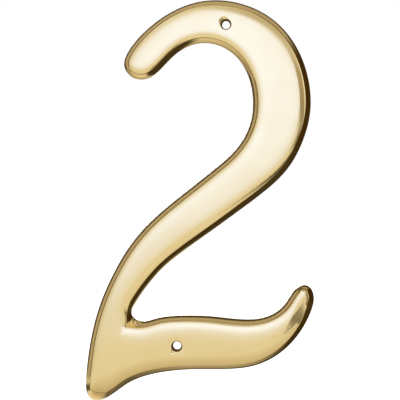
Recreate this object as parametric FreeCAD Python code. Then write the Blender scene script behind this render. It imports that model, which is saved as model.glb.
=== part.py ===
import FreeCAD, Part
import math
import os

# Brass door number, the digit 2, cast in one piece: a flat back, sides that lean in, and a
# face that rises from its rim to a nearly flat crown. Two plain holes take the nails.
# The digit is drawn lying on its back: X to the reader's right, Y up the digit and Z out of
# the door. It is then stood up, so that the face looks along -Y and +Z is up. The origin is
# on the back, half way between the two nail holes.

Vector = FreeCAD.Vector

# Overall sizes, in mm
number_height = 101.6         # lowest point of the foot to the top of the bowl
number_width = 58.0           # back edge of the foot to the tip of the tail
number_thickness = 4.0        # back to the crown of the face

# Section of the casting
square_edge_height = 0.5      # upright edge next to the door
rim_height = 3.45             # back to the rim, where the side meets the face
side_lean = 1.25              # how far the side leans in between the outline and the rim
face_rounding = 1.0           # distance in which the face does most of its rise from the rim

# Nail holes, placed from the digit's own edges
nail_hole_diameter = 2.4
top_hole_from_top = 6.3
top_hole_from_left = 35.7
bottom_hole_from_bottom = 14.0
bottom_hole_from_left = 23.3

# Creases, where the side turns a corner and the rim has a point. Each leaves the outline
# in a direction in degrees, for a length.
notch_crease_length = 2.7
notch_crease_angle = -130
tail_inner_crease_length = 0.9
tail_inner_crease_angle = -50
tail_outer_crease_length = 0.95
tail_outer_crease_angle = -133
foot_inner_crease_length = 3.0
foot_inner_crease_angle = 50
foot_outer_crease_length = 1.3
foot_outer_crease_angle = 42
notch_bow = 0.35              # how far the rim bows into the metal on its way to the notch
tail_end_bulge = 0.15         # how far the rim bows out across the end of the tail
foot_end_bulge = 0.45         # the same across the end of the foot

# The outline, clockwise, as the points that one smooth closed curve passes through, across
# and up from the drawing's corner. Each stretch starts where a crease leaves the outline.
top_of_base = [
    (12.3, 21.0), (14.5, 20.1), (17.7, 20.8), (23.6, 21.6), (32.4, 21.4), (39.8, 20.7),
    (46.0, 21.4), (50.5, 24.4), (52.6, 27.5),
]
end_of_tail = [(54.0, 28.9), (55.7, 29.4)]
bottom_of_base = [
    (57.0, 28.8), (58.0, 26.6), (57.3, 22.7), (54.5, 17.4), (49.3, 12.0), (42.6, 8.8),
    (35.9, 8.0), (27.2, 7.9), (18.5, 7.0), (10.7, 4.3), (6.6, 1.4),
]
end_of_foot = [(3.7, 0.1), (1.5, 0.3)]
back_of_stem = [
    (0.3, 1.9), (0.0, 4.9), (0.6, 11.1), (2.9, 22.1), (7.2, 32.5), (13.3, 41.9),
    (19.5, 48.1), (26.3, 53.6), (33.1, 59.0),
]
inside_of_bowl = [
    (38.1, 63.6), (41.6, 69.6), (42.5, 77.0), (40.5, 84.1), (36.2, 88.9), (30.1, 90.7),
    (24.0, 88.7), (19.4, 84.4),
]
end_of_bowl = [(15.3, 81.6), (11.5, 82.3), (9.8, 85.3), (11.0, 88.8), (14.4, 93.0)]
outside_of_bowl = [
    (20.3, 97.7), (29.5, 101.3), (39.4, 100.7), (47.3, 96.9), (53.1, 90.5), (56.4, 82.4),
    (57.1, 73.7), (54.9, 65.2), (51.2, 58.7), (45.9, 53.5),
]
front_of_stem = [
    (39.9, 48.9), (32.8, 43.7), (25.7, 38.6), (19.4, 33.4), (15.0, 28.2), (12.4, 24.3),
    (11.7, 22.6),
]

# How finely the curves and the face are worked out
extent_points = 4000          # places on the outline, for measuring its width and height
rim_points_per_span = 2       # points of the rim between two points of the outline
crease_spread = 1.7           # a crease draws the rim in along so many times its own length
edge_sample = 0.25            # spacing along the rim, for measuring distances to it
face_grid = 1.5               # spacing of the points that the face passes through
face_skirt = 2.0              # how far the face keeps falling beyond its rim
side_piece_length = 30        # the sides are made in lengths of about this
cutting_allowance = 0.3       # how far the sides and tools run past the metal they trim


def closed_curve(points):
    curve = Part.BSplineCurve()
    curve.interpolate(Points=points, PeriodicFlag=True)
    return curve


def extent(curve):
    """The corner, the width and the height of a flat curve."""
    points = curve.discretize(extent_points)
    left = min(point.x for point in points)
    bottom = min(point.y for point in points)
    width = max(point.x for point in points) - left
    height = max(point.y for point in points) - bottom
    return left, bottom, width, height


def drawn_stretches():
    """The outline's stretches between creases, as they are drawn."""
    long_side = back_of_stem + inside_of_bowl + end_of_bowl + outside_of_bowl + front_of_stem
    return [top_of_base, end_of_tail, bottom_of_base, end_of_foot, long_side]


def make_outline():
    """The outline at its real size, and the points where its stretches start."""
    stretches = drawn_stretches()
    drawn = closed_curve([Vector(x, y, 0) for stretch in stretches for x, y in stretch])
    left, bottom, width, height = extent(drawn)
    across = number_width / width
    up = number_height / height
    placed = [[Vector((x - left) * across, (y - bottom) * up, 0) for x, y in stretch]
              for stretch in stretches]
    outline = closed_curve([point for stretch in placed for point in stretch])
    return outline, [stretch[0] for stretch in placed], [len(s) for s in placed]


def inward_normal(outline, parameter):
    """The outline runs clockwise, so the metal is on its right."""
    along = outline.tangent(parameter)[0]
    return Vector(along.y, -along.x, 0)


def at_angle(point, length, degrees):
    turn = math.radians(degrees)
    return point + Vector(length * math.cos(turn), length * math.sin(turn), 0)


def make_rims(outline, starts, counts):
    """For each stretch: its outline parameters, and the rim's points above them."""
    knots = outline.getKnots()
    lengths = [notch_crease_length, tail_inner_crease_length, tail_outer_crease_length,
               foot_inner_crease_length, foot_outer_crease_length]
    angles = [notch_crease_angle, tail_inner_crease_angle, tail_outer_crease_angle,
              foot_inner_crease_angle, foot_outer_crease_angle]
    corners = [at_angle(*crease) for crease in zip(starts, lengths, angles)]
    bows = [notch_bow, 0, 0, 0, 0]
    bulges = [0, tail_end_bulge, 0, foot_end_bulge, 0]
    rims = []
    first = 0
    for number, count in enumerate(counts):
        following = (number + 1) % len(counts)
        spans = knots[first:first + count + 1]
        if bulges[number]:
            rims.append(bulged_rim(spans, corners[number], corners[following], bulges[number]))
        else:
            ends = [(corners[end], lengths[end] * crease_spread, bows[end])
                    for end in (number, following)]
            rims.append(leaning_rim(outline, spans, ends))
        first += count
    return rims


def bulged_rim(spans, start, end, bulge):
    """Across the end of a stroke: nearly straight from crease to crease."""
    along = end - start
    outward = Vector(-along.y, along.x, 0).normalize()
    middle = (start + end) * 0.5 + outward * bulge
    return [spans[0], (spans[0] + spans[-1]) / 2, spans[-1]], [start, middle, end]


def leaning_rim(outline, spans, ends):
    """Along a stroke: beside the outline, and drawn into the creases at both ends."""
    (start, start_reach, start_bow), (end, end_reach, end_bow) = ends
    parameters, points = [], []
    for low, high in zip(spans, spans[1:]):
        for step in range(rim_points_per_span):
            parameter = low + (high - low) * (step + 0.5) / rim_points_per_span
            if spans[0] + start_reach < parameter < spans[-1] - end_reach:
                parameters.append(parameter)
                points.append(outline.value(parameter)
                              + inward_normal(outline, parameter) * side_lean)
    lead_in = bowed(outline, spans[0], start, parameters[0], points[0], start_bow)
    lead_out = bowed(outline, spans[-1], end, parameters[-1], points[-1], end_bow)
    parameters = [spans[0], lead_in[0]] + parameters + [lead_out[0], spans[-1]]
    return parameters, [start, lead_in[1]] + points + [lead_out[1], end]


def bowed(outline, corner_parameter, corner, parameter, point, bow):
    """A point of the rim half way to a crease, bowed into the metal."""
    middle = (corner_parameter + parameter) / 2
    return middle, (corner + point) * 0.5 + inward_normal(outline, middle) * bow


def raised(points, height):
    return [point + Vector(0, 0, height) for point in points]


def make_leaning_body(outline, rims):
    """The digit with its sides run on upwards, past where the face will trim them."""
    top_height = number_thickness + cutting_allowance
    run_on = (top_height - square_edge_height) / (rim_height - square_edge_height)
    faces, bottom_edges, top_edges = [], [], []
    for parameters, points in rims:
        feet = [outline.value(parameter) for parameter in parameters]
        ends = [low + (high - low) * run_on for low, high in zip(feet, points)]
        side = Part.BSplineCurve()
        side.interpolate(Points=raised(ends, top_height), Parameters=parameters)
        for first, last in divided(parameters[0], parameters[-1], side_piece_length):
            bottom = piece_of(outline, first, last)
            shoulder = bottom.translated(Vector(0, 0, square_edge_height))
            top = piece_of(side, first, last)
            faces.append(Part.makeRuledSurface(bottom, shoulder))
            faces.append(Part.makeRuledSurface(shoulder, top))
            bottom_edges.append(bottom)
            top_edges.append(top)
    faces.append(Part.Face(Part.Wire(bottom_edges)))
    faces.append(Part.Face(Part.Wire(top_edges)))
    shell = Part.makeShell(faces)
    shell.sewShape()
    return Part.makeSolid(shell)


def divided(start, end, length):
    """The range in equal parts of about a length."""
    count = max(1, round((end - start) / length))
    places = [start + (end - start) * number / count for number in range(count + 1)]
    return zip(places, places[1:])


def piece_of(curve, start, end):
    piece = curve.copy()
    piece.segment(start, end)
    return piece.toShape()


def sample_rim(rims):
    """Points evenly along the rim, for measuring distances to it."""
    samples = []
    for parameters, points in rims:
        curve = Part.BSplineCurve()
        curve.interpolate(Points=points, Parameters=parameters)
        count = math.ceil(curve.length() / edge_sample)
        places = curve.discretize(count + 1)
        samples += [((low + high) * 0.5, (high - low).Length)
                    for low, high in zip(places, places[1:])]
    return [(point.x, point.y, length) for point, length in samples]


def inside(x, y, samples):
    """Whether a place is within the rim, by counting the crossings of a line from it."""
    crossings = False
    last_x, last_y, _ = samples[-1]
    for next_x, next_y, _ in samples:
        if (next_y > y) != (last_y > y):
            if x < last_x + (y - last_y) * (next_x - last_x) / (next_y - last_y):
                crossings = not crossings
        last_x, last_y = next_x, next_y
    return crossings


def distance_to_rim(x, y, samples):
    """Distance from the rim with its ridges smoothed away, from the pull of every bit of it.

    For a straight rim the sum is pi / 2 d^3, so this is the true distance beside one.
    """
    pull = 0.0
    for rim_x, rim_y, length in samples:
        square = (x - rim_x) ** 2 + (y - rim_y) ** 2 + edge_sample ** 2 / 16
        pull += length / (square * square)
    distance = (math.pi / 2 / pull) ** (1 / 3)
    return distance if inside(x, y, samples) else -distance


def face_rise(distance):
    """Share of the rise at a distance from the rim. It runs on straight down beyond the rim."""
    if distance < 0:
        return max(distance, -face_skirt) / face_rounding
    return 1 - math.exp(-distance / face_rounding)


def make_face(samples):
    """The pillowed face, as one surface over the whole digit."""
    margin = 2 * face_grid
    columns = math.ceil((number_width + 2 * margin) / face_grid)
    rows = math.ceil((number_height + 2 * margin) / face_grid)
    step_x = (number_width + 2 * margin) / columns
    step_y = (number_height + 2 * margin) / rows
    rises = [[face_rise(distance_to_rim(i * step_x - margin, j * step_y - margin, samples))
              for j in range(rows + 1)] for i in range(columns + 1)]
    full_rise = max(max(column) for column in rises)
    heights = [[rim_height + (number_thickness - rim_height) * rise / full_rise
                for rise in column] for column in rises]
    surface = Part.BSplineSurface()
    surface.interpolate(heights, -margin, step_x, -margin, step_y)
    return surface.toShape()


def nail_hole_places():
    top = Vector(top_hole_from_left, number_height - top_hole_from_top, 0)
    bottom = Vector(bottom_hole_from_left, bottom_hole_from_bottom, 0)
    return top, bottom


def make_nail_hole(place):
    start = place - Vector(0, 0, cutting_allowance)
    length = number_thickness + 2 * cutting_allowance
    return Part.makeCylinder(nail_hole_diameter / 2, length, start)


def make_door_number():
    outline, starts, counts = make_outline()
    rims = make_rims(outline, starts, counts)
    leaning = make_leaning_body(outline, rims)
    face = make_face(sample_rim(rims))
    depth = number_thickness + cutting_allowance
    body = leaning.common(face.extrude(Vector(0, 0, -depth)))
    top, bottom = nail_hole_places()
    for place in (top, bottom):
        body = body.cut(make_nail_hole(place))
    body.translate((top + bottom) * -0.5)
    body.rotate(Vector(0, 0, 0), Vector(1, 0, 0), 90)
    return body


os.makedirs("parts", exist_ok=True)
door_number = make_door_number()
solid = door_number.Solids[0]
print("solids", len(door_number.Solids), "valid", solid.isValid(), "volume", round(solid.Volume, 1))
solid.exportStep("parts/door_number.step")
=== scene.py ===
import math
import bpy
import numpy as np
from mathutils import Matrix, Vector, kdtree
from mathutils.geometry import delaunay_2d_cdt


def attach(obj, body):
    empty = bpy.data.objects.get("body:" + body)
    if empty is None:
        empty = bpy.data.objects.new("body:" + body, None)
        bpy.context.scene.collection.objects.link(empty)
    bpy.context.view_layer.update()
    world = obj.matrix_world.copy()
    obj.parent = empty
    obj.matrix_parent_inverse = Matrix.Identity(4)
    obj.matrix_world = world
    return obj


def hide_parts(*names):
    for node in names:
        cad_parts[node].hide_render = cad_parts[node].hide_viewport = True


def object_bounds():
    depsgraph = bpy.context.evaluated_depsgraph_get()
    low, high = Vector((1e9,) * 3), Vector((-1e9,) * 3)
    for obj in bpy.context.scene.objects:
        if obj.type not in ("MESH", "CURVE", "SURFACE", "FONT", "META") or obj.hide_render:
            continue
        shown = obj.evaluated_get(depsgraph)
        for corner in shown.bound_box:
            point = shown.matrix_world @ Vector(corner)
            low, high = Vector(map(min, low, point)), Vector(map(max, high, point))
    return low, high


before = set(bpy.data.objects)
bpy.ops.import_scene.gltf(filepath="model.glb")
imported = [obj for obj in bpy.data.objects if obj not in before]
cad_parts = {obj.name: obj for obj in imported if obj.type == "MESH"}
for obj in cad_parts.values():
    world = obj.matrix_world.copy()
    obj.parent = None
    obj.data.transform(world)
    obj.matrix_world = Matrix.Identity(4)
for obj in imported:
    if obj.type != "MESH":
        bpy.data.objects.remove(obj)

cadLow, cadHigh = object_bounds()
print("door number: frame loaded")

# The digit is worked out in millimetres: across, up, and height out of the door
digit = {
    "thickness": 4.0,          # back to the crown of the face
    "squareEdge": 0.5,         # upright edge next to the door
    "rimHeight": 3.45,         # back to the arris between side and face
    "sideLean": 1.25,          # how far the side leans in on its way to the arris
    "sideBelly": 0.1,          # how far the side bulges between its foot and the arris
    "faceRounding": 1.0,       # distance in which the face does most of its rise
    "arrisWidth": 0.22,        # half the width that polishing took off the arris
    "wallEnd": 0.28,           # the plain side stops this far before the arris
    "backRounding": 0.12,
    "stationStep": 0.28,       # spacing of the mesh along the outline
    "creaseStep": 0.06,        # the same next to a crease
    "faceStep": 0.75,          # spacing of the mesh in the middle of the face
    "leastGap": 0.09,          # no two loose points of the face come closer than this
    "faceRings": [0.28, 0.42, 0.58, 0.76, 0.98, 1.25, 1.6, 2.05, 2.6],
    "wallShares": [0.05, 0.12, 0.25, 0.4, 0.55, 0.7, 0.84, 0.94],   # rows up the side
    "arrisSteps": [-0.25, -0.19, -0.14, -0.1, -0.06, -0.03, 0, 0.03, 0.06, 0.1, 0.14, 0.18],
}

# Where the side turns a corner: foot of the crease, its length, its angle in degrees, and
# how far the rim bows into the metal beside it. The outline runs clockwise through them.
creases = [
    {"name": "notch", "foot": (-17.2, -33.65), "length": 2.75, "angle": -131, "bow": 0.5},
    {"name": "tailInner", "foot": (24.5, -25.75), "length": 0.9, "angle": -50, "bow": 0.0},
    {"name": "tailOuter", "foot": (27.5, -25.85), "length": 0.95, "angle": -133, "bow": 0.0},
    {"name": "footInner", "foot": (-25.8, -54.55), "length": 3.0, "angle": 50, "bow": 0.0},
    {"name": "footOuter", "foot": (-29.2, -52.75), "length": 1.3, "angle": 42, "bow": 0.0},
]
creaseSpread = 1.7             # a crease draws the rim in along so many times its length
endBulges = {"tailInner": 0.15, "footInner": 0.45}  # how far the rim bows out across an end

# Where polishing rounded the arris more: place on the outline, how far it reaches, times wider
rubbedArris = [
    {"place": (26.6, 22.5), "reach": 8.5, "wider": 1.6},
    {"place": (13.0, -12.0), "reach": 7.0, "wider": 0.6},
    {"place": (26.5, -31.5), "reach": 5.0, "wider": 1.0},
]

nailHole = {
    "radius": 1.2,
    "lip": 0.2,                # rounding at its mouth
    "narrowing": 0.2,          # how much closer its wall comes towards the back
    "backLip": 0.08,
    "mouthHeight": 3.4,        # the narrowing starts here
    "wallRows": [3.0, 2.2, 1.2],
    "lipTurns": [20, 40, 60, 80, 90],   # degrees round the lip
    "spokes": 72,
    "rings": [1.47, 1.54, 1.6, 1.68, 1.72, 1.86, 2.02, 2.2, 2.4, 2.65, 2.95, 3.3],
}


def flatBackLoops(node):
    # closed loops round the flat back of the CAD node, the longest first
    spots, ids, places = {}, [], []
    for vertex in node.data.vertices:
        key = tuple(round(value * 1e6) for value in vertex.co)
        if key not in spots:
            spots[key] = len(spots)
            places.append(vertex.co * 1000)
        ids.append(spots[key])
    border = set()
    for polygon in node.data.polygons:
        corners = [ids[i] for i in polygon.vertices]
        if all(abs(places[i].y) < 0.005 for i in corners):
            for start, end in zip(corners, corners[1:] + corners[:1]):
                if (end, start) in border:
                    border.remove((end, start))
                else:
                    border.add((start, end))
    following = dict(sorted(border))
    loops = []
    while following:
        first, here = following.popitem()
        loop = [first]
        while here != first:
            loop.append(here)
            here = following.pop(here)
        loops.append(np.array([(places[i].x, places[i].z) for i in loop]))
    return sorted(loops, key=len, reverse=True)


def signedArea(loop):
    ahead = np.roll(loop, -1, 0)
    return 0.5 * np.sum(loop[:, 0] * ahead[:, 1] - ahead[:, 0] * loop[:, 1])


def splineThrough(corners):
    # closed cubic spline: gives places and directions at distances round it, and its length
    count = len(corners)
    gaps = np.linalg.norm(np.roll(corners, -1, 0) - corners, axis=1)
    knots = np.concatenate([[0], np.cumsum(gaps)])
    slopes = (np.roll(corners, -1, 0) - corners) / gaps[:, None]
    before = np.roll(gaps, 1)
    rows = np.arange(count)
    system = np.zeros((count, count))
    system[rows, rows] = 2 * (before + gaps)
    system[rows, rows - 1] = before
    system[rows, (rows + 1) % count] = gaps
    bends = np.linalg.solve(system, 6 * (slopes - np.roll(slopes, 1, 0)))

    def at(distances):
        distances = np.asarray(distances) % knots[-1]
        i = np.clip(np.searchsorted(knots, distances, "right") - 1, 0, count - 1)
        j = (i + 1) % count
        gap = gaps[i][:, None]
        ahead = (distances - knots[i])[:, None]
        behind = gap - ahead
        place = ((bends[i] * behind ** 3 + bends[j] * ahead ** 3) / (6 * gap)
                 + (corners[i] / gap - bends[i] * gap / 6) * behind
                 + (corners[j] / gap - bends[j] * gap / 6) * ahead)
        along = ((bends[j] * ahead ** 2 - bends[i] * behind ** 2) / (2 * gap)
                 + slopes[i] - (bends[j] - bends[i]) * gap / 6)
        return place, along / np.linalg.norm(along, axis=1)[:, None]

    return at, knots[-1]


def toTheRight(along):
    # the outline runs clockwise, so the metal is on its right
    return np.stack([along[:, 1], -along[:, 0]], axis=1)


def stationsAlong(length):
    # distances from one crease to the next, close together near both
    places = [0.0]
    while places[-1] < length:
        toCrease = max(0.0, min(places[-1], length - places[-1]))
        share = min(1.0, toCrease / 2.5)
        places.append(places[-1] + digit["creaseStep"]
                      + (digit["stationStep"] - digit["creaseStep"]) * share)
    return np.array(places) * length / places[-1]


def leadIn(rim, inward, distances, corner, reach, bow):
    # draws the start of the rim into a crease
    join = int(np.searchsorted(distances, reach))
    reach = distances[join]
    step = distances[join + 1] - distances[join - 1]
    leaving = (rim[join + 1] - rim[join - 1]) / step * reach
    starting = 1.5 * (rim[join] - corner) - 0.5 * leaving
    t = distances[:join, None] / reach
    curve = ((1 + 2 * t) * (1 - t) ** 2 * corner + t * (1 - t) ** 2 * starting
             + t ** 2 * (3 - 2 * t) * rim[join] + t ** 2 * (t - 1) * leaving)
    middle = int(np.searchsorted(distances, reach / 2))
    wanted = (corner + rim[join]) / 2 + inward[middle] * bow
    natural = (corner + rim[join]) / 2 + (starting - leaving) / 8
    rim[:join] = curve + (wanted - natural) * 16 * t ** 2 * (1 - t) ** 2


def creaseCorner(crease):
    turn = math.radians(crease["angle"])
    return np.array(crease["foot"]) + crease["length"] * np.array([math.cos(turn), math.sin(turn)])


def rimAlong(feet, inward, distances, start, end):
    # the arris above one stretch of the outline, seen from the front
    first, last = creaseCorner(start), creaseCorner(end)
    if start["name"] in endBulges:
        t = (distances / distances[-1])[:, None]
        across = last - first
        outward = np.array([-across[1], across[0]]) / np.linalg.norm(across)
        return first + across * t + outward * endBulges[start["name"]] * 4 * t * (1 - t)
    rim = feet + inward * digit["sideLean"]
    leadIn(rim, inward, distances, first, start["length"] * creaseSpread, start["bow"])
    back = distances[-1] - distances[::-1]
    leadIn(rim[::-1], inward[::-1], back, last, end["length"] * creaseSpread, end["bow"])
    rim[0], rim[-1] = first, last
    return rim


def arrisScale(points):
    scale = np.ones(len(points))
    for spot in rubbedArris:
        away = np.linalg.norm(points - np.array(spot["place"]), axis=1) / spot["reach"]
        scale += spot["wider"] * np.exp(-away ** 2)
    return scale


def softMin(a, b, width):
    # the lower of two, with a soft change from one to the other
    overlap = np.maximum(0, 1 - np.abs(a - b) / width)
    return np.minimum(a, b) - overlap ** 2 * width / 4


def drawDigit(node):
    # outline, rim and inward directions at every station, one after the other
    loop, *holes = flatBackLoops(node)
    if signedArea(loop) > 0:
        loop = loop[::-1]
    at, length = splineThrough(loop)
    trial = np.arange(0, length, 0.02)
    track = at(trial)[0]
    starts = [trial[np.argmin(np.linalg.norm(track - crease["foot"], axis=1))]
              for crease in creases]
    feet, rim, inward, rimInward = [], [], [], []
    for number, start in enumerate(starts):
        following = (number + 1) % len(starts)
        stretch = (starts[following] - start) % length
        distances = stationsAlong(stretch)
        places, along = at(start + distances)
        normals = toTheRight(along)
        arris = rimAlong(places, normals, distances, creases[number], creases[following])
        ahead = np.gradient(arris, distances, axis=0)
        ahead /= np.linalg.norm(ahead, axis=1)[:, None]
        feet.append(places[:-1])
        inward.append(normals[:-1])
        rim.append(arris[:-1])
        rimInward.append(toTheRight(ahead)[:-1])
    holeCentres = [hole.mean(0) for hole in holes]
    return [np.concatenate(part) for part in (feet, rim, inward, rimInward)] + [holeCentres]


def rimSamples(rim):
    # middles and lengths of short pieces of the rim
    samples, lengths = [], []
    for start, end in zip(rim, np.roll(rim, -1, 0)):
        gap = np.linalg.norm(end - start)
        count = max(1, math.ceil(gap / 0.1))
        for piece in range(count):
            samples.append(start + (end - start) * (piece + 0.5) / count)
            lengths.append(gap / count)
    return np.array(samples), np.array(lengths)


def distanceInside(points, samples, lengths):
    # distance from the rim with its ridges smoothed away, and the way in which it grows:
    # every piece of rim pulls with its length over r^4, which beside a straight rim sums
    # to pi / 2 d^3
    distance, growth = np.empty(len(points)), np.empty((len(points), 2))
    for first in range(0, len(points), 500):
        block = slice(first, first + 500)
        gap = points[block, None, :] - samples
        square = (gap ** 2).sum(2) + 0.0006   # never 0, even on the rim itself
        pull = (lengths / square ** 2).sum(1)
        spread = ((lengths / square ** 3)[..., None] * gap).sum(1)
        distance[block] = (math.pi / 2 / pull) ** (1 / 3)
        growth[block] = distance[block, None] * 4 * spread / (3 * pull[:, None])
    return distance, growth


# Small dents in the face: place, half sizes along and across, turn in degrees, depth
dents = [
    {"place": (5.72, 41.4), "along": 0.95, "across": 0.95, "turn": 0, "depth": 0.42},
    {"place": (-6.2, -40.65), "along": 1.75, "across": 1.75, "turn": 0, "depth": 0.08},
    {"place": (-7.25, -41.7), "along": 0.62, "across": 0.26, "turn": 80, "depth": 0.3},
]

# Long shallow scoops that the polishing wheel left: the sharper edge from bottom to top with
# the scoop on its right, its widest and deepest
scoops = [
    {"path": [(24.0, 14.0), (24.85, 19.0), (24.65, 25.0), (23.2, 30.5)],
     "width": 1.9, "depth": 0.065},
    {"path": [(20.3, -38.0), (22.6, -33.6), (24.0, -30.2), (24.9, -26.6)],
     "width": 3.0, "depth": 0.2},
    {"path": [(12.0, -6.5), (16.5, -2.2), (20.4, 3.0), (22.6, 8.0)],
     "width": 1.5, "depth": 0.04},
]
scoopRows = (-0.04, 0.04, 0.14, 0.26, 0.4, 0.6, 0.8, 1)   # mesh rows, as shares of the width


def scoopLine(scoop, count):
    # places, directions and shares of the way along the edge of a scoop
    knots = np.linspace(0, 1, len(scoop["path"]))
    share = np.linspace(0, 1, count)
    curves = [np.polyfit(knots, values, len(knots) - 1) for values in zip(*scoop["path"])]
    places = np.stack([np.polyval(curve, share) for curve in curves], axis=1)
    along = np.stack([np.polyval(np.polyder(curve), share) for curve in curves], axis=1)
    return places, along / np.linalg.norm(along, axis=1)[:, None], share


def scoopDepth(points, scoop):
    places, along, share = scoopLine(scoop, 240)
    length = np.linalg.norm(np.diff(places, axis=0), axis=1).sum()
    nearest = np.argmin(((points[:, None, :] - places) ** 2).sum(2), axis=1)
    away = points - places[nearest]
    aside = (away * toTheRight(along)[nearest]).sum(1)
    ahead = (away * along[nearest]).sum(1)
    fullness = np.sin(math.pi * np.clip(share[nearest] + ahead / length, 0.001, 0.999))
    u = np.clip(aside / (scoop["width"] * fullness ** 0.7), 0, 1)
    return scoop["depth"] * fullness ** 1.4 * 2.6 * u * (1 - u ** 2)   # 2.6 brings its peak to 1


def scoopPoints(scoop):
    # mesh points that follow a scoop closely
    places, along, share = scoopLine(scoop, 44)
    across = toTheRight(along) * (scoop["width"] * np.sin(math.pi * share) ** 0.7)[:, None]
    return np.concatenate([places + across * u for u in scoopRows])


def marksAt(points):
    height = np.zeros(len(points))
    for scoop in scoops:
        height -= scoopDepth(points, scoop)
    for mark in dents:
        turn = math.radians(mark["turn"])
        away = points - np.array(mark["place"])
        along = away[:, 0] * math.cos(turn) + away[:, 1] * math.sin(turn)
        across = -away[:, 0] * math.sin(turn) + away[:, 1] * math.cos(turn)
        away = (along / mark["along"]) ** 2 + (across / mark["across"]) ** 2
        height -= mark["depth"] * np.exp(-away ** 1.5)
    return height


def faceAt(points, samples, lengths, deepest):
    # height of the face and the way its surface looks
    distance, growth = distanceInside(points, samples, lengths)
    rounding = digit["faceRounding"]
    rise = (digit["thickness"] - digit["rimHeight"]) / (1 - math.exp(-deepest / rounding))
    fade = np.exp(-distance / rounding)
    height = digit["rimHeight"] + rise * (1 - fade)
    slope = (rise * fade / rounding)[:, None] * growth
    step = 0.01
    for axis in range(2):
        shift = np.eye(2)[axis] * step
        slope[:, axis] += (marksAt(points + shift) - marksAt(points - shift)) / (2 * step)
    normal = np.stack([-slope[:, 0], -np.ones(len(points)), -slope[:, 1]], axis=1)
    return height + marksAt(points), normal / np.linalg.norm(normal, axis=1)[:, None]


class castMesh:
    # gathers points, the way the surface looks at them, and faces

    def __init__(self):
        self.points, self.normals, self.faces, self.count = [], [], [], 0
        self.parts = []        # 0 polished face, 1 side, 2 back, 3 inside a nail hole

    def add(self, plan, height, normals, part):
        plan = np.asarray(plan, float)
        self.parts.append(np.broadcast_to(float(part), len(plan)))
        height = np.broadcast_to(height, len(plan))
        self.points.append(np.stack([plan[:, 0], -height, plan[:, 1]], axis=1))
        self.normals.append(np.broadcast_to(normals, (len(plan), 3)))
        self.count += len(plan)
        return np.arange(self.count - len(plan), self.count)

    def band(self, lower, upper):
        # quads between two closed rows
        lowerNext, upperNext = np.roll(lower, -1), np.roll(upper, -1)
        self.faces += np.stack([lower, upper, upperNext, lowerNext], axis=1).tolist()


def gridNormals(rows, inward):
    # normals of closed rows of points, pointing out of the metal
    along = np.roll(rows, -1, 1) - np.roll(rows, 1, 1)
    up = np.gradient(rows, axis=0)
    normals = np.cross(along, up)
    normals /= np.linalg.norm(normals, axis=2)[..., None]
    outward = np.stack([-inward[:, 0], -np.full(len(inward), 0.3), -inward[:, 1]], axis=1)
    facing = np.sign((normals * outward[None]).sum(2))
    return normals * facing[..., None]


def sideRows(feet, rim, rimInward):
    # plan and height of the rows that climb from the back to just inside the arris
    lean = rim - feet
    reach = np.linalg.norm(lean, axis=1)
    lean = lean / reach[:, None]
    facing = np.abs((lean * rimInward).sum(1))
    square, climb = digit["squareEdge"], digit["rimHeight"] - digit["squareEdge"]
    rise = digit["thickness"] - digit["rimHeight"]
    scale = arrisScale(feet)
    turn = digit["backRounding"]
    plans, heights = [], []

    def row(inset, height):
        plans.append(feet + lean * np.broadcast_to(inset, len(feet))[:, None])
        heights.append(np.broadcast_to(height, len(feet)))

    for degrees in (0, 22, 45, 68, 90):
        angle = math.radians(degrees)
        row(turn * (1 - math.sin(angle)), turn * (1 - math.cos(angle)))
    row(0, square - 0.12)
    row(0.004, square - 0.04)
    for share in digit["wallShares"]:
        inset = (reach - digit["wallEnd"] * scale) * share
        belly = digit["sideBelly"] * 4 * share * (1 - share)
        row(inset - belly, square + climb * inset / reach)
    for step in digit["arrisSteps"]:
        past = step * scale
        wall = digit["rimHeight"] + climb * past / reach
        face = digit["rimHeight"] + rise * (1 - np.exp(-past * facing / digit["faceRounding"]))
        steeper = climb / reach - rise * facing / digit["faceRounding"]
        width = digit["arrisWidth"] * scale * np.maximum(0.2, steeper)
        row(reach + past, softMin(wall, face, width))
    return np.array(plans), np.array(heights)


def triangles(loops, loosePoints, holeCentres, holeRadius):
    # triangles that fill the first loop apart from the holes
    corners = np.concatenate(loops + [loosePoints])
    edges, first = [], 0
    for loop in loops:
        ring = np.arange(first, first + len(loop))
        edges += np.stack([ring, np.roll(ring, -1)], axis=1).tolist()
        first += len(loop)
    places, _, found, origins, _, _ = delaunay_2d_cdt(
        [Vector(corner) for corner in corners], edges, [], 1, 1e-6)
    names = [min(origin) for origin in origins]
    kept = []
    for face in found:
        middle = np.mean([places[i] for i in face], axis=0)
        if all(np.linalg.norm(middle - centre) > holeRadius * 0.9995 for centre in holeCentres):
            kept.append([names[i] for i in face])
    return kept


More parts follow.
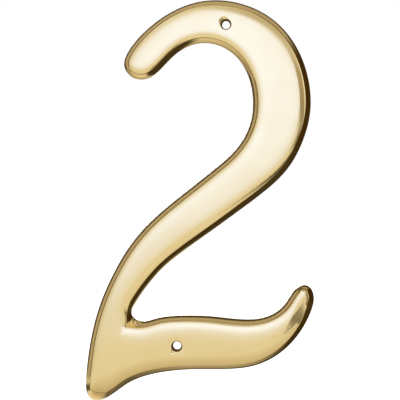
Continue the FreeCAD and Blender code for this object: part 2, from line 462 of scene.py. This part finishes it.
def looseFacePoints(rim, rimInward, samples, lengths, holeCentres):
    # rings that follow the rim, rows along the scoops and a grid between them
    tree = kdtree.KDTree(len(samples))
    for number, (x, z) in enumerate(samples):
        tree.insert((x, z, 0), number)
    tree.balance()

    def clear(points, gap):
        least = np.maximum(gap, digit["arrisSteps"][-1] * arrisScale(points) + 0.06)
        keep = [tree.find((x, z, 0))[2] > room for (x, z), room in zip(points, least)]
        for centre in holeCentres:
            keep &= np.linalg.norm(points - centre, axis=1) > nailHole["rings"][-1] + 0.2
        return points[keep]

    found = []
    for ring, past in enumerate(digit["faceRings"]):
        thinned = slice(ring % 2, None, 1 + ring // 3)
        found.append(clear((rim + rimInward * past)[thinned], past * 0.97 - 0.004))
    step = digit["faceStep"]
    low, high = samples.min(0), samples.max(0)
    grid = [(x + (row % 2) * step / 2, z)
            for row, z in enumerate(np.arange(low[1], high[1], step * 0.87))
            for x in np.arange(low[0], high[0], step)]
    grid = insideLoop(np.array(grid), rim)
    found.append(clear(grid, digit["faceRings"][-1] + 0.35))
    lines = [insideLoop(scoopPoints(scoop), rim) for scoop in scoops]
    return apart([clear(line, 0.3) for line in lines] + found, digit["leastGap"])


def apart(groups, gap):
    # all the points of the groups that aren't too close to an earlier one
    points = np.concatenate(groups)
    tree = kdtree.KDTree(len(points))
    for number, (x, z) in enumerate(points):
        tree.insert((x, z, 0), number)
    tree.balance()
    dropped = np.zeros(len(points), bool)
    for number, (x, z) in enumerate(points):
        if not dropped[number]:
            close = [other for _, other, _ in tree.find_range((x, z, 0), gap) if other > number]
            dropped[close] = True
    return points[~dropped]


def insideLoop(points, loop):
    # the points that lie inside a closed loop
    inside = np.zeros(len(points), bool)
    for (x0, z0), (x1, z1) in zip(loop, np.roll(loop, -1, 0)):
        if z0 != z1:
            crosses = (points[:, 1] < z0) != (points[:, 1] < z1)
            inside ^= crosses & (points[:, 0] < x0 + (points[:, 1] - z0) * (x1 - x0) / (z1 - z0))
    return points[inside]


def circle(centre, radius):
    turns = np.arange(nailHole["spokes"]) * 2 * math.pi / nailHole["spokes"]
    return centre + radius * np.stack([np.cos(turns), np.sin(turns)], axis=1)


def buildDigit(node):
    feet, rim, inward, rimInward, holeCentres = drawDigit(node)
    samples, lengths = rimSamples(rim)
    cast = castMesh()
    plans, heights = sideRows(feet, rim, rimInward)
    rows = np.stack([plans[..., 0], -heights, plans[..., 1]], axis=2)
    normals = gridNormals(rows, inward)
    loose = looseFacePoints(rim, rimInward, samples, lengths, holeCentres)
    deepest = distanceInside(loose, samples, lengths)[0].max()
    print("door number: deepest point of the face", round(float(deepest), 2), "mm from its rim")

    toFace = np.clip((np.arange(len(plans)) - len(plans) + 9) / 5, 0, 1)
    parts = np.where(np.arange(len(plans)) < 1, 2.0, 1 - toFace)
    sides = [cast.add(*row) for row in zip(plans, heights, normals, parts)]
    cast.normals[0] = np.tile([0.0, 1.0, 0.0], (len(feet), 1))
    cast.points[-1][:, 1] = -faceAt(plans[-1], samples, lengths, deepest)[0]
    cast.normals[-1] = faceAt(plans[-1], samples, lengths, deepest)[1]
    for lower, upper in zip(sides, sides[1:]):
        cast.band(lower, upper)

    # the face, with rings round the holes
    rings = [circle(centre, radius) for centre in holeCentres for radius in nailHole["rings"]]
    free = np.concatenate([loose] + rings)
    mouthRadius = nailHole["radius"] + nailHole["lip"]
    mouths = [circle(centre, mouthRadius) for centre in holeCentres]
    free = free[[min(np.linalg.norm(point - centre) for centre in holeCentres)
                 > mouthRadius + 0.02 for point in free]]
    mouthRows = [cast.add(mouth, *faceAt(mouth, samples, lengths, deepest), 3) for mouth in mouths]
    freeRow = cast.add(free, *faceAt(free, samples, lengths, deepest), 0)
    names = np.concatenate([sides[-1]] + mouthRows + [freeRow])
    found = triangles([plans[-1]] + mouths, free, holeCentres, mouthRadius)
    cast.faces += [names[face].tolist() for face in np.array(found)]

    # down the holes, and the back
    backRows, backRings = [], []
    backRadius = nailHole["radius"] - nailHole["narrowing"] + nailHole["backLip"]
    for centre, above in zip(holeCentres, mouthRows):
        for degrees in nailHole["lipTurns"]:
            angle = math.radians(degrees)
            lip = nailHole["lip"]
            ring = circle(centre, nailHole["radius"] + lip * (1 - math.sin(angle)))
            height, facing = faceAt(ring, samples, lengths, deepest)
            away = (ring - centre) / np.linalg.norm(ring - centre, axis=1)[:, None]
            normal = facing * math.cos(angle)
            normal[:, 0] -= away[:, 0] * math.sin(angle)
            normal[:, 2] -= away[:, 1] * math.sin(angle)
            below = cast.add(ring, height - lip * (1 - math.cos(angle)), normal, 3)
            cast.band(below, above)
            above = below
        away = (ring - centre) / np.linalg.norm(ring - centre, axis=1)[:, None]
        wall = np.stack([-away[:, 0], np.zeros(len(away)), -away[:, 1]], axis=1)
        for height in nailHole["wallRows"] + [nailHole["backLip"]]:
            narrower = nailHole["narrowing"] * (1 - height / nailHole["mouthHeight"])
            ring = circle(centre, nailHole["radius"] - narrower)
            below = cast.add(ring, height, wall, 3)
            cast.band(below, above)
            above = below
        ring = circle(centre, backRadius)
        below = cast.add(ring, 0, (0, 1, 0), 2)
        cast.band(below, above)
        backRows.append(below)
        backRings.append(ring)
    names = np.concatenate([sides[0]] + backRows)
    found = triangles([plans[0]] + backRings, np.zeros((0, 2)), holeCentres, backRadius)
    cast.faces += [names[face[::-1]].tolist() for face in np.array(found)]
    return cast


def makeCasting(name, node):
    cast = buildDigit(node)
    mesh = bpy.data.meshes.new(name)
    points = np.concatenate(cast.points)
    normals = np.concatenate(cast.normals)
    mesh.from_pydata((points / 1000).tolist(), [], cast.faces)
    mesh.shade_smooth()
    mesh.normals_split_custom_set_from_vertices(normals.tolist())
    parts = np.concatenate(cast.parts)
    for part, label in enumerate(("side", "back", "hole"), 1):
        attribute = mesh.attributes.new(label, "FLOAT", "POINT")
        share = np.clip(1 - np.abs(parts - part), 0, 1)
        attribute.data.foreach_set("value", share.astype(np.float32))
    piece = bpy.data.objects.new(name, mesh)
    bpy.context.scene.collection.objects.link(piece)
    print("door number: casting has", len(mesh.vertices), "points,", len(mesh.polygons), "faces")
    return piece


casting = makeCasting("castNumber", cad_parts["door_number"])
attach(casting, "root")
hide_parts("door_number")
print("door number: casting replaces the plain solid")


brass = {
    "colour": (0.88, 0.76, 0.47),
    "richer": (0.85, 0.70, 0.40),      # slightly redder patches
    "sideColour": (0.84, 0.71, 0.42),
    "backColour": (0.62, 0.49, 0.27),  # as cast, never polished
    "backDark": (0.40, 0.30, 0.16),
    "holeColour": (0.20, 0.11, 0.035),  # dark brown and not metal, in the nail holes and on their rounded lips
    "holeRoughness": 0.5,
    "faceRoughness": 0.085,
    "patchRoughness": (-0.015, 0.02),  # added to that, from the yellowest to the reddest patches
    "streakRoughness": (-0.02, 0.03),
    "sideRoughness": 0.13,
    "backRoughness": 0.48,
    "backMetallic": 0.55,      # a skin of oxide
    "lacquer": 0.12,
    "lacquerRoughness": 0.04,
    "patchSize": 0.009,
    "waveSize": 0.0065,        # soft unevenness left by polishing
    "waveHeight": 0.000009,
    "streakLength": 0.006,     # fine lines from the polishing wheel
    "streakWidth": 0.00028,
    "streakTurn": 58.0,        # degrees from level
    "streakHeight": 0.00001,
    "grainSize": 0.0004,       # sand cast grain of the sides and back
    "grainHeight": 0.00003,
    "sideGrain": 0.35,         # share of the back's grain that the sides keep
}


def addNode(tree, kind, links=None, **values):
    # a node with its settings; links are (input, socket) pairs
    node = tree.nodes.new(kind)
    for name, value in values.items():
        setattr(node, name, value)
    for target, socket in (links or {}).items():
        if hasattr(socket, "links"):
            tree.links.new(socket, node.inputs[target])
        else:
            node.inputs[target].default_value = socket
    return node


def colour(rgb):
    return (*rgb, 1.0)


def mixColours(tree, share, first, second):
    node = addNode(tree, "ShaderNodeMix", data_type="RGBA")
    for target, value in ((0, share), (6, first), (7, second)):
        if hasattr(value, "links"):
            tree.links.new(value, node.inputs[target])
        else:
            node.inputs[target].default_value = value if target == 0 else colour(value)
    return node.outputs[2]


def remap(tree, value, fromLow, fromHigh, toLow, toHigh):
    return addNode(tree, "ShaderNodeMapRange", {0: value, 1: fromLow, 2: fromHigh,
                                                3: toLow, 4: toHigh}).outputs[0]


def mathNode(tree, operation, first, second):
    return addNode(tree, "ShaderNodeMath", {0: first, 1: second}, operation=operation).outputs[0]


def mixValues(tree, share, first, second):
    return addNode(tree, "ShaderNodeMix", {0: share, 2: first, 3: second},
                   data_type="FLOAT").outputs[0]


def smoothStep(tree, value, low, high, top):
    return addNode(tree, "ShaderNodeMapRange", {0: value, 1: low, 2: high, 3: 0.0, 4: top},
                   interpolation_type="SMOOTHSTEP").outputs[0]


def noise(tree, place, scale, detail, roughness):
    return addNode(tree, "ShaderNodeTexNoise", {
        "Vector": place, "Scale": scale, "Detail": detail, "Roughness": roughness}).outputs["Fac"]


def makeBrass():
    material = bpy.data.materials.new("polishedBrass")
    material.use_nodes = True
    tree = material.node_tree
    tree.nodes.clear()
    place = addNode(tree, "ShaderNodeTexCoord").outputs["Object"]
    side, back, hole = (addNode(tree, "ShaderNodeAttribute", attribute_name=name).outputs["Fac"]
                        for name in ("side", "back", "hole"))

    # soft unevenness, streaks of the polishing wheel, patches of tone and grain
    lengthwise = addNode(tree, "ShaderNodeMapping", {
        "Vector": place, "Rotation": (0, -math.radians(brass["streakTurn"]), 0),
        "Scale": (brass["streakLength"], brass["streakLength"], brass["streakWidth"])},
        vector_type="TEXTURE").outputs[0]
    waves = noise(tree, place, 1 / brass["waveSize"], 1.0, 0.4)
    streaks = noise(tree, lengthwise, 1.0, 2.0, 0.6)
    patches = noise(tree, place, 1 / brass["patchSize"], 3.0, 0.5)
    grain = noise(tree, place, 1 / brass["grainSize"], 3.0, 0.6)

    # colour
    reddish = remap(tree, patches, 0.35, 0.7, 0.0, 0.6)
    tone = mixColours(tree, reddish, brass["colour"], brass["richer"])
    tone = mixColours(tree, side, tone, brass["sideColour"])
    speckled = remap(tree, grain, 0.42, 0.68, 0.0, 1.0)
    skin = mixColours(tree, speckled, brass["backColour"], brass["backDark"])
    skin = mixColours(tree, remap(tree, patches, 0.45, 0.75, 0.0, 0.8), skin, brass["backDark"])
    tone = mixColours(tree, back, tone, skin)
    tone = mixColours(tree, hole, tone, brass["holeColour"])

    # roughness: streaks and patches on the face, duller sides, dull back and holes
    smoother, duller = (brass["faceRoughness"] + change for change in brass["patchRoughness"])
    roughness = mathNode(tree, "ADD", remap(tree, streaks, 0.3, 0.7, *brass["streakRoughness"]),
                         remap(tree, patches, 0.3, 0.7, smoother, duller))
    for share, value in ((side, brass["sideRoughness"]), (back, brass["backRoughness"]),
                         (hole, brass["holeRoughness"])):
        roughness = mixValues(tree, share, roughness, value)

    # bare metal everywhere but in the holes, under a skin at the back
    bare = remap(tree, hole, 0.0, 1.0, 1.0, 0.0)
    clean = remap(tree, back, 0.0, 1.0, 1.0, brass["backMetallic"])
    metallic = mathNode(tree, "MULTIPLY", bare, clean)
    shine = mathNode(tree, "MULTIPLY", bare, 0.5)
    lacquer = mathNode(tree, "MULTIPLY", bare, brass["lacquer"])

    # relief
    rough = mathNode(tree, "MAXIMUM", back, mathNode(tree, "MULTIPLY", side, brass["sideGrain"]))
    relief = addNode(tree, "ShaderNodeBump", {
        "Height": waves, "Distance": brass["waveHeight"], "Strength": 1.0}).outputs[0]
    relief = addNode(tree, "ShaderNodeBump", {
        "Height": streaks, "Distance": brass["streakHeight"], "Strength": 1.0,
        "Normal": relief}).outputs[0]
    relief = addNode(tree, "ShaderNodeBump", {
        "Height": grain, "Distance": brass["grainHeight"], "Strength": rough,
        "Normal": relief}).outputs[0]
    shader = addNode(tree, "ShaderNodeBsdfPrincipled", {
        "Base Color": tone, "Roughness": roughness, "Metallic": metallic,
        "Specular IOR Level": shine, "Normal": relief,
        "Coat Weight": lacquer, "Coat Roughness": brass["lacquerRoughness"]})
    addNode(tree, "ShaderNodeOutputMaterial", {"Surface": shader.outputs[0]})
    return material


casting.data.materials.append(makeBrass())
print("door number: brass made")


# Surroundings that only the metal sees: a tent open at the back, with bands by angle from the
# front, and cards inside it, each with its direction, size, soft edge and light
tent = {
    "radius": 0.30,
    "opening": 157.0,          # degrees from the front to its rim
    "rings": 40,
    "spokes": 72,
    "bands": [
        (0, (0.88, 0.80, 0.60)), (20, (0.81, 0.74, 0.53)), (46, (0.84, 0.77, 0.62)),
        (56, (0.50, 0.42, 0.24)), (74, (1.02, 0.92, 0.70)), (83, (0.80, 0.68, 0.46)),
        (88, (0.17, 0.11, 0.035)), (92, (0.09, 0.055, 0.015)), (116, (0.09, 0.055, 0.015)),
        (120, (0.46, 0.37, 0.23)), (125, (0.66, 0.55, 0.37)), (129, (0.42, 0.33, 0.20)),
        (132.5, (0.13, 0.08, 0.03)), (140, (0.05, 0.028, 0.008)),
    ],
}

cards = [
    {"name": "keySoftbox", "azimuth": -2, "elevation": 14, "distance": 0.24,
     "size": (0.486, 0.292), "soft": (0.26, 0.137), "light": (1.233, 1.43, 2.2),
     "topLight": (1.05, 1.09, 1.31)},
    {"name": "leftCard", "azimuth": -62, "elevation": 20, "distance": 0.235,
     "size": (0.24, 0.32), "soft": (0.05, 0.05), "light": (0.76, 0.70, 0.58)},
    {"name": "topLeftCard", "azimuth": -49, "elevation": 52, "distance": 0.232,
     "size": (0.22, 0.16), "soft": (0.08, 0.06), "light": (0.99, 0.99, 0.96)},
    {"name": "topCard", "azimuth": 0, "elevation": 76, "distance": 0.231,
     "size": (0.34, 0.12), "soft": (0.08, 0.03), "light": (0.60, 0.52, 0.37)},
    {"name": "topBackCard", "azimuth": 0, "elevation": 111, "distance": 0.230,
     "size": (0.26, 0.05), "soft": (0.08, 0.015), "light": (1.0, 0.88, 0.64)},
    {"name": "topRightCard", "azimuth": 22, "elevation": 35, "distance": 0.230,
     "size": (0.24, 0.19), "soft": (0.10, 0.09), "light": (0.62, 0.54, 0.38)},
    {"name": "rightFlag", "azimuth": 34, "elevation": 11, "distance": 0.229,
     "size": (0.14, 0.13), "soft": (0.05, 0.045), "light": (0.30, 0.24, 0.14),
     "topLight": (0.58, 0.50, 0.35)},
    {"name": "lowRightFlag", "azimuth": 62, "elevation": -8, "distance": 0.225,
     "size": (0.326, 0.231), "soft": (0.094, 0.09), "light": (0.315, 0.26, 0.16)},
    {"name": "rightStrip", "azimuth": 87, "elevation": 17, "distance": 0.220,
     "size": (0.15, 0.34), "soft": (0.035, 0.14), "light": (1.0, 0.92, 0.78)},
    {"name": "backRightFlag", "azimuth": 136, "elevation": -8.7, "distance": 0.220,
     "size": (0.349, 0.52), "soft": (0.09, 0.12), "light": (0.055, 0.028, 0.005)},
]

# A glowing sheet laid on the floor, seen by the metal alone: bands of light from front to back,
# darker to the right
floorSheet = {
    "lift": 0.0001,
    "radius": 0.29,
    "spokes": 96,
    "bandsFrom": -0.08,        # bands run from here, in front of the digit, to here behind it
    "bandsTo": 0.12,
    "bands": [
        (-0.08, (0.88, 0.80, 0.62)), (-0.04, (0.80, 0.70, 0.50)), (-0.015, (0.72, 0.61, 0.41)),
        (-0.0055, (0.62, 0.52, 0.33)), (-0.0035, (0.30, 0.22, 0.10)), (-0.0019, (0.70, 0.57, 0.34)),
        (-0.0008, (0.98, 0.86, 0.66)), (0.0025, (0.66, 0.58, 0.41)), (0.0045, (0.46, 0.38, 0.23)),
        (0.009, (0.24, 0.19, 0.11)), (0.0125, (0.08, 0.055, 0.03)), (0.024, (0.18, 0.13, 0.07)),
        (0.036, (0.30, 0.24, 0.14)), (0.043, (1.0, 0.90, 0.62)), (0.050, (0.95, 0.83, 0.57)),
        (0.060, (0.72, 0.61, 0.40)), (0.090, (0.60, 0.50, 0.33)), (0.115, (0.40, 0.32, 0.20)),
    ],
    "darkLight": (0.045, 0.026, 0.004),
    "darkFront": (0.045, 0.085, 0.16),   # from here to here along x it darkens to this share
    "darkBack": (-0.010, 0.014, 0.03),
    "darkShift": ((-0.12, -0.05, -0.021, 0.0), (0.02, 0.12, 0.0, 0.04)),  # moves that along y
    "darkUntil": (-0.158, -0.130),       # towards the camera the front darkening fades out here
    "backFrom": (0.006, 0.016),          # along y the back darkening takes over here
}

# A darker patch of that sheet under the lower left end, with where each of its edges fades
footShade = {
    "left": (-0.0262, -0.0238),
    "right": (-0.016, -0.003),
    "front": (-0.0024, -0.0014),
    "back": (0.008, 0.014),
    "share": 0.84,
}


def onlyForMetal(piece):
    piece.visible_camera = False
    piece.visible_diffuse = False
    piece.visible_transmission = False
    piece.visible_volume_scatter = False
    piece.visible_shadow = False


def addMesh(name, points, faces, material):
    mesh = bpy.data.meshes.new(name)
    mesh.from_pydata(points, [], faces)
    mesh.materials.append(material)
    piece = bpy.data.objects.new(name, mesh)
    bpy.context.scene.collection.objects.link(piece)
    return piece


def lightMaterial(name):
    material = bpy.data.materials.new(name)
    material.use_nodes = True
    material.node_tree.nodes.clear()
    material.cycles.emission_sampling = "NONE"
    return material, material.node_tree


def bandColours(tree, value, bands, low, high, unit):
    ramp = addNode(tree, "ShaderNodeValToRGB", {"Fac": remap(tree, value, low, high, 0.0, 1.0)})
    stops = ramp.color_ramp.elements
    while len(stops) < len(bands):
        stops.new(1.0)
    for stop, (place, light) in zip(stops, bands):
        stop.position = (place * unit - low) / (high - low)
        stop.color = colour(light)
    return ramp.outputs[0]


def makeTent():
    material, tree = lightMaterial("tentLight")
    place = addNode(tree, "ShaderNodeTexCoord").outputs["Object"]
    toward = addNode(tree, "ShaderNodeVectorMath", {0: place}, operation="NORMALIZE").outputs[0]
    cosine = addNode(tree, "ShaderNodeVectorMath", {0: toward, 1: (0, -1, 0)},
                     operation="DOT_PRODUCT").outputs["Value"]
    angle = mathNode(tree, "ARCCOSINE", cosine, 0.0)
    bands = bandColours(tree, angle, tent["bands"], 0.0, math.pi, math.pi / 180)
    glow = addNode(tree, "ShaderNodeEmission", {"Color": bands, "Strength": 1.0})
    addNode(tree, "ShaderNodeOutputMaterial", {"Surface": glow.outputs[0]})

    rings, spokes, points, faces = tent["rings"], tent["spokes"], [], []
    for ring in range(rings + 1):
        away = math.radians(tent["opening"]) * ring / rings
        for spoke in range(spokes):
            turn = 2 * math.pi * spoke / spokes
            points.append((tent["radius"] * math.sin(away) * math.cos(turn),
                           -tent["radius"] * math.cos(away),
                           tent["radius"] * math.sin(away) * math.sin(turn)))
    for ring in range(rings):
        for spoke in range(spokes):
            a, b = ring * spokes + spoke, ring * spokes + (spoke + 1) % spokes
            faces.append((a, b, b + spokes, a + spokes))
    onlyForMetal(addMesh("lightTent", points, faces, material))


def makeCard(card):
    # a glowing plane that faces the digit and fades out at its edges
    material, tree = lightMaterial(card["name"] + "Light")
    place = addNode(tree, "ShaderNodeTexCoord").outputs["Object"]
    split = addNode(tree, "ShaderNodeSeparateXYZ", {0: place})
    width, height = card["size"]
    shares = []
    for axis, half in enumerate((width / 2, height / 2)):
        middle = mathNode(tree, "ABSOLUTE", split.outputs[axis], 0.0)
        inside = mathNode(tree, "SUBTRACT", half, middle)
        shares.append(smoothStep(tree, inside, 0.0, card["soft"][axis], 1.0))
    share = mathNode(tree, "MULTIPLY", *shares)
    glow = addNode(tree, "ShaderNodeEmission", {"Color": colour(card["light"]), "Strength": 1.0})
    if "topLight" in card:
        up = remap(tree, split.outputs[1], -height / 2, height / 2, 0.0, 1.0)
        tree.links.new(mixColours(tree, up, card["light"], card["topLight"]), glow.inputs[0])
    clear = addNode(tree, "ShaderNodeBsdfTransparent")
    mixed = addNode(tree, "ShaderNodeMixShader", {0: share, 1: clear.outputs[0],
                                                  2: glow.outputs[0]})
    addNode(tree, "ShaderNodeOutputMaterial", {"Surface": mixed.outputs[0]})

    x, y = width / 2, height / 2
    corners = [(-x, -y, 0), (x, -y, 0), (x, y, 0), (-x, y, 0)]
    piece = addMesh(card["name"], corners, [(0, 1, 2, 3)], material)
    azimuth, elevation = math.radians(card["azimuth"]), math.radians(card["elevation"])
    outward = Vector((math.sin(azimuth) * math.cos(elevation),
                      -math.cos(azimuth) * math.cos(elevation), math.sin(elevation)))
    right = Vector((math.cos(azimuth), math.sin(azimuth), 0))
    upward = right.cross(outward)
    upward = -upward if upward.z < 0 else upward
    piece.matrix_world = Matrix((right, upward, right.cross(upward))).transposed().to_4x4()
    piece.location = outward * card["distance"]
    onlyForMetal(piece)


def makeFloorSheet():
    material, tree = lightMaterial("floorSheetLight")
    place = addNode(tree, "ShaderNodeTexCoord").outputs["Object"]
    split = addNode(tree, "ShaderNodeSeparateXYZ", {0: place}).outputs
    across, along = split[0], split[1]
    bands = bandColours(tree, along, floorSheet["bands"], floorSheet["bandsFrom"],
                        floorSheet["bandsTo"], 1.0)
    skewed = across
    for shift in floorSheet["darkShift"]:
        skewed = mathNode(tree, "SUBTRACT", skewed, remap(tree, along, *shift))
    front, back = (smoothStep(tree, skewed, start, full, 1 - kept)
                   for start, full, kept in (floorSheet["darkFront"], floorSheet["darkBack"]))
    toCamera = remap(tree, along, *floorSheet["darkUntil"], 0.0, 1.0)
    front = mathNode(tree, "MULTIPLY", front, toCamera)
    behind = remap(tree, along, *floorSheet["backFrom"], 0.0, 1.0)
    share = mixValues(tree, behind, front, back)

    patch = remap(tree, across, *footShade["left"], 0.0, footShade["share"])
    for edge in (remap(tree, across, *footShade["right"], 1.0, 0.0),
                 remap(tree, along, *footShade["front"], 0.0, 1.0),
                 remap(tree, along, *footShade["back"], 1.0, 0.0)):
        patch = mathNode(tree, "MULTIPLY", patch, edge)
    share = mathNode(tree, "MAXIMUM", share, patch)
    dimmed = mixColours(tree, share, bands, floorSheet["darkLight"])
    glow = addNode(tree, "ShaderNodeEmission", {"Color": dimmed, "Strength": 1.0})
    addNode(tree, "ShaderNodeOutputMaterial", {"Surface": glow.outputs[0]})

    spokes, radius = floorSheet["spokes"], floorSheet["radius"]
    turns = [2 * math.pi * spoke / spokes for spoke in range(spokes)]
    points = [(radius * math.cos(turn), radius * math.sin(turn), 0) for turn in turns]
    piece = addMesh("floorSheet", points, [tuple(range(spokes))], material)
    piece.location = (0, 0, cadLow[2] + floorSheet["lift"])
    onlyForMetal(piece)


makeTent()
makeFloorSheet()
for card in cards:
    makeCard(card)
print("door number: tent and", len(cards), "cards stand around it")

room = {
    "floorColour": (0.86, 0.86, 0.86),
    "floorSize": 5.0,
    "floorGlow": 0.5,          # brings the lit floor up to white for the camera and the metal
    "skyLight": 0.62,          # even light from all around
}


def seenDirectly(tree):
    # 1 for camera, glossy and transmission rays, which see a white room
    path = addNode(tree, "ShaderNodeLightPath").outputs
    seen = mathNode(tree, "MAXIMUM", path["Is Camera Ray"], path["Is Glossy Ray"])
    return mathNode(tree, "MAXIMUM", seen, path["Is Transmission Ray"])


def makeFloor():
    material = bpy.data.materials.new("paleFloor")
    material.use_nodes = True
    tree = material.node_tree
    tree.nodes.clear()
    matt = addNode(tree, "ShaderNodeBsdfDiffuse", {"Color": colour(room["floorColour"])})
    glow = addNode(tree, "ShaderNodeEmission", {"Strength": room["floorGlow"]})
    both = addNode(tree, "ShaderNodeAddShader", {0: matt.outputs[0], 1: glow.outputs[0]})
    mixed = addNode(tree, "ShaderNodeMixShader", {0: seenDirectly(tree), 1: matt.outputs[0],
                                                  2: both.outputs[0]})
    addNode(tree, "ShaderNodeOutputMaterial", {"Surface": mixed.outputs[0]})
    half, low = room["floorSize"] / 2, cadLow[2]
    floor = addMesh("paleFloor", [(-half, -half, low), (half, -half, low), (half, half, low),
                                  (-half, half, low)], [(0, 1, 2, 3)], material)


def makeSky():
    world = bpy.data.worlds.new("whiteRoom")
    bpy.context.scene.world = world
    world.use_nodes = True
    tree = world.node_tree
    tree.nodes.clear()
    sky = addNode(tree, "ShaderNodeBackground", {"Strength": room["skyLight"]})
    sky.inputs["Color"].default_value = (1, 1, 1, 1)
    white = addNode(tree, "ShaderNodeBackground", {"Strength": 1.0})
    white.inputs["Color"].default_value = (1, 1, 1, 1)
    mixed = addNode(tree, "ShaderNodeMixShader", {0: seenDirectly(tree), 1: sky.outputs[0],
                                                  2: white.outputs[0]})
    addNode(tree, "ShaderNodeOutputWorld", {"Surface": mixed.outputs[0]})


lamps = [
    {"name": "overheadLamp", "place": (-0.05, -0.10, 0.75), "target": (0, 0, -0.05),
     "size": 0.5, "watts": 3.2, "onMetal": False},
    {"name": "backLamp", "place": (-0.25, 0.75, 0.30), "target": (0, 0, 0),
     "size": 0.5, "watts": 2.0, "onMetal": True},
]


def makeLamp(lamp):
    data = bpy.data.lights.new(lamp["name"], "AREA")
    data.size, data.energy = lamp["size"], lamp["watts"]
    piece = bpy.data.objects.new(lamp["name"], data)
    bpy.context.scene.collection.objects.link(piece)
    place = Vector(lamp["place"])
    piece.location = place
    piece.rotation_euler = (Vector(lamp["target"]) - place).to_track_quat("-Z", "Y").to_euler()
    piece.visible_camera = False
    piece.visible_glossy = lamp["onMetal"]


makeFloor()
makeSky()
for lamp in lamps:
    makeLamp(lamp)
print("door number: floor, room and lamps made")

view = {
    "place": (0.0181, -0.640, 0.0059),
    "target": (-0.00043, 0.0, -0.00371),
    "frameWidth": 0.1016,      # what the picture spans at the digit
    "sensor": 36.0,
}


def makeCamera():
    data = bpy.data.cameras.new("numberCamera")
    camera = bpy.data.objects.new("numberCamera", data)
    bpy.context.scene.collection.objects.link(camera)
    place, target = Vector(view["place"]), Vector(view["target"])
    camera.location = place
    camera.rotation_euler = (target - place).to_track_quat("-Z", "Y").to_euler()
    data.sensor_width = view["sensor"]
    data.lens = view["sensor"] * (target - place).length / view["frameWidth"]
    data.clip_start, data.clip_end = 0.01, 20
    bpy.context.scene.camera = camera


makeCamera()
bpy.context.scene.view_settings.view_transform = "Standard"
